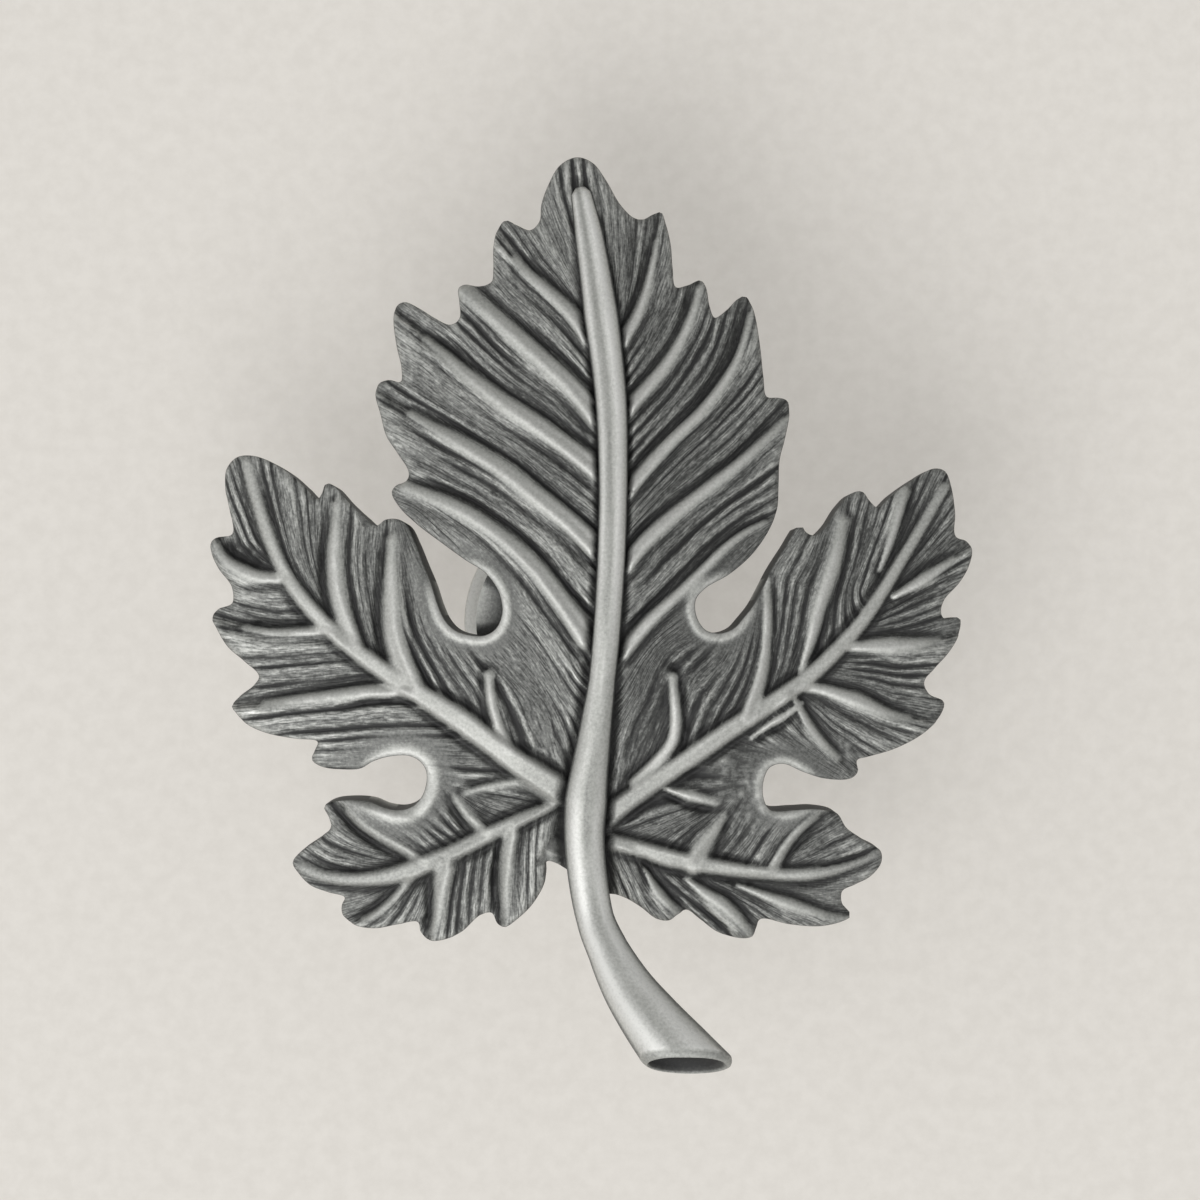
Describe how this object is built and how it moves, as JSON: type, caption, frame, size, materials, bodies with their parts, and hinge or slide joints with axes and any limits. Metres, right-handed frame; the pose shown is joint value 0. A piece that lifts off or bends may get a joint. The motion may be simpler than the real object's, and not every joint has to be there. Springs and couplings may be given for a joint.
{
  "type": "cabinet knob",
  "caption": "Leaf shaped cabinet knob of cast pewter: lobed, veined leaf with a curved stalk on a turned round post with a tapped hole.",
  "frame": {"origin": "centre of the post's round end, which lies on the door", "axes": "+Z out of the door, along the post and towards the viewer; +Y up the leaf to the tip of its middle lobe; +X to the right as seen from in front"},
  "size_m": [0.05, 0.0603, 0.0233],
  "materials": {
    "leaf_knob": "antique pewter, satin on the raised veins and blackened in the furrows"
  },
  "bodies": {
    "root": {"leaf_knob": "leaf_knob"}
  },
  "joints": []
}
